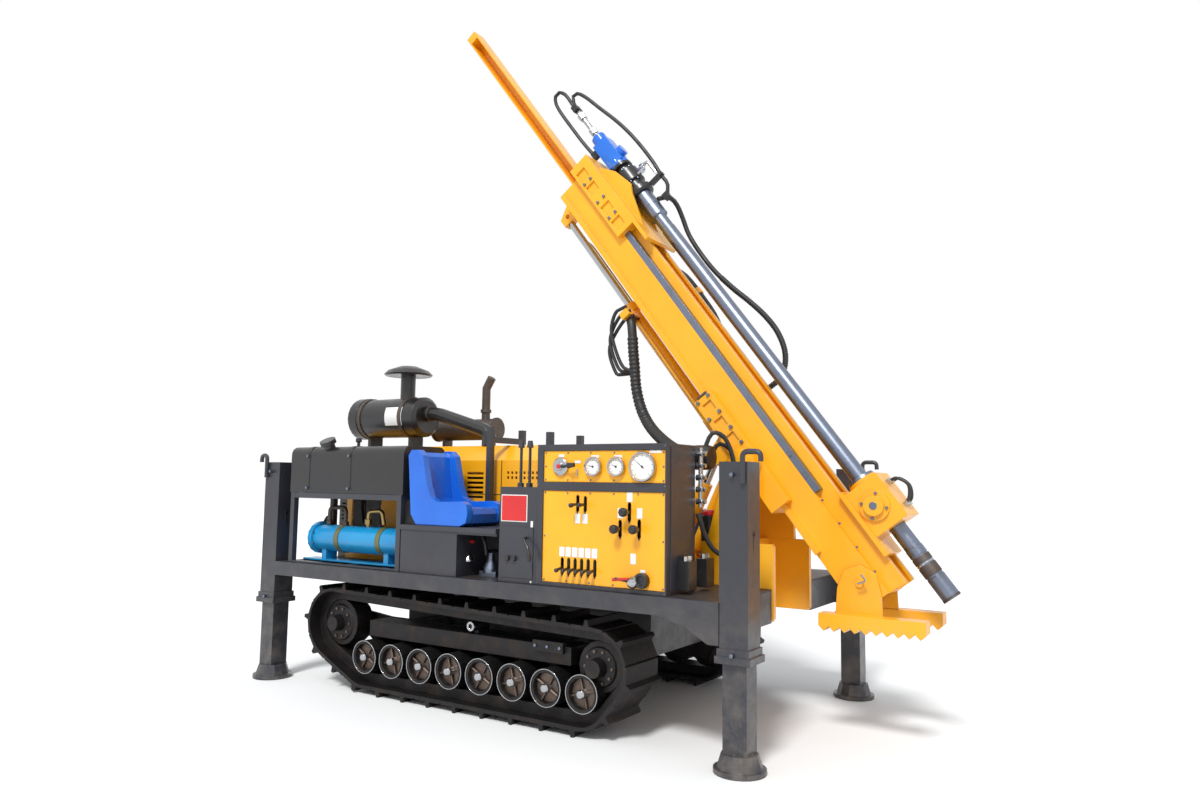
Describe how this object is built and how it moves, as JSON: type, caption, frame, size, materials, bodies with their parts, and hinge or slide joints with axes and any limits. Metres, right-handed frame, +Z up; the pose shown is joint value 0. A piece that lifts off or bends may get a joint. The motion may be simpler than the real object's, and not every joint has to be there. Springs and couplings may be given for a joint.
{
  "type": "crawler-mounted core drilling rig",
  "caption": "Tracked core drilling rig with a tilting, sliding mast, a feed-driven rotary head with drill string, telescoping legs, a side seat and a gauge and lever panel",
  "frame": {"origin": "middle of the bounding box on the ground plane, under the leg pads and track lugs", "axes": "+Z up, +X towards the drill string and the front of the machine, -Y the operator's side, +Y the far side"},
  "size_m": [4.176, 1.948, 4.5008],
  "materials": {
    "amber_paint": "glossy amber enamel, rubbed dull and scuffed at the edges",
    "charcoal_paint": "semi-matt charcoal enamel",
    "black_paint": "semi-gloss black enamel",
    "bare_steel": "bare machined steel, blue-grey",
    "chrome": "hard chrome plating",
    "blue_paint": "gloss blue enamel",
    "cyan_paint": "gloss cyan-blue enamel",
    "worn_steel": "heat-dulled grey-brown iron",
    "track_iron": "dark cast track iron, lightly rusted",
    "seat_shell": "smooth blue moulding"
  },
  "bodies": {
    "chassis": {"air_cleaner": "black_paint", "chassis": "charcoal_paint", "deck": "charcoal_paint", "engine_block": "black_paint", "engine_hood": "amber_paint", "equipment_rack": "charcoal_paint", "fuel_tank": "black_paint", "gauge_plate": "amber_paint", "hydraulic_tank": "charcoal_paint", "leg_sleeve_front_left": "charcoal_paint", "leg_sleeve_front_right": "charcoal_paint", "leg_sleeve_rear_left": "charcoal_paint", "leg_sleeve_rear_right": "charcoal_paint", "mast_rest": "charcoal_paint", "mast_support": "amber_paint", "muffler": "worn_steel", "oil_cooler": "cyan_paint", "panel_cabinet": "charcoal_paint", "panel_plate": "amber_paint", "radiator": "black_paint", "seat": "seat_shell", "seat_box": "charcoal_paint", "side_console": "charcoal_paint", "track_frame_left": "track_iron", "track_frame_right": "track_iron", "track_loop_left": "track_iron", "track_loop_right": "track_iron"},
    "leg_front_right": {"leg_post_front_right": "charcoal_paint"},
    "leg_front_left": {"leg_post_front_left": "charcoal_paint"},
    "leg_rear_right": {"leg_post_rear_right": "charcoal_paint"},
    "leg_rear_left": {"leg_post_rear_left": "charcoal_paint"},
    "carrier": {"mast_carrier": "amber_paint", "slide_cylinder_barrel": "amber_paint"},
    "mast": {"mast_beam": "amber_paint", "front_rail_left": "bare_steel", "front_rail_right": "bare_steel", "mast_extension": "amber_paint", "slide_cylinder_rod": "chrome", "rod_clamp": "amber_paint"},
    "foot": {"mast_foot": "amber_paint"},
    "head": {"feed_carriage": "amber_paint", "power_head": "black_paint", "head_motor": "blue_paint", "head_swivel": "chrome"},
    "string": {"drill_string": "bare_steel"},
    "lift_barrels": {"lift_barrel_left": "amber_paint", "lift_barrel_right": "amber_paint"},
    "lift_rods": {"lift_rod_left": "chrome", "lift_rod_right": "chrome"}
  },
  "joints": [
    {"name": "leg_slide_front_right", "type": "slide", "parent": "chassis", "child": "leg_front_right", "axis": [0, 0, 1], "range_m": [-0.25, 0.33]},
    {"name": "leg_slide_front_left", "type": "slide", "parent": "chassis", "child": "leg_front_left", "axis": [0, 0, 1], "range_m": [-0.25, 0.33]},
    {"name": "leg_slide_rear_right", "type": "slide", "parent": "chassis", "child": "leg_rear_right", "axis": [0, 0, 1], "range_m": [-0.25, 0.33]},
    {"name": "leg_slide_rear_left", "type": "slide", "parent": "chassis", "child": "leg_rear_left", "axis": [0, 0, 1], "range_m": [-0.25, 0.33]},
    {"name": "mast_tilt", "type": "hinge", "parent": "chassis", "child": "carrier", "pos_m": [1.05401, 0, 1.397], "axis": [0, 1, 0], "range_deg": [-40, 37]},
    {"name": "mast_slide", "type": "slide", "parent": "carrier", "child": "mast", "axis": [0.606, 0, -0.7955], "range_m": [0, 0.7]},
    {"name": "foot_pivot", "type": "hinge", "parent": "mast", "child": "foot", "pos_m": [1.64274, 0, 0.7958], "axis": [0, 1, 0], "range_deg": [-42, 20]},
    {"name": "head_feed", "type": "slide", "parent": "mast", "child": "head", "axis": [0.606, 0, -0.7955], "range_m": [0, 1.6]},
    {"name": "spindle_turn", "type": "hinge", "parent": "head", "child": "string", "pos_m": [0.75985, 0, 2.43002], "axis": [-0.606, 0, 0.7955], "continuous": true},
    {"name": "lift_barrel_swing", "type": "hinge", "parent": "chassis", "child": "lift_barrels", "pos_m": [0.56601, 0, 0.83], "axis": [0, 1, 0], "range_deg": [-12, 12]},
    {"name": "lift_rod_slide", "type": "slide", "parent": "lift_barrels", "child": "lift_rods", "axis": [0.4228, 0, 0.9062], "range_m": [-0.2, 0.2]}
  ],
  "couplings": [
    {"joint": "lift_barrel_swing", "follows": "mast_tilt", "ratio": -0.09504},
    {"joint": "lift_rod_slide", "follows": "mast_tilt", "m_per_rad": 0.17898}
  ]
}
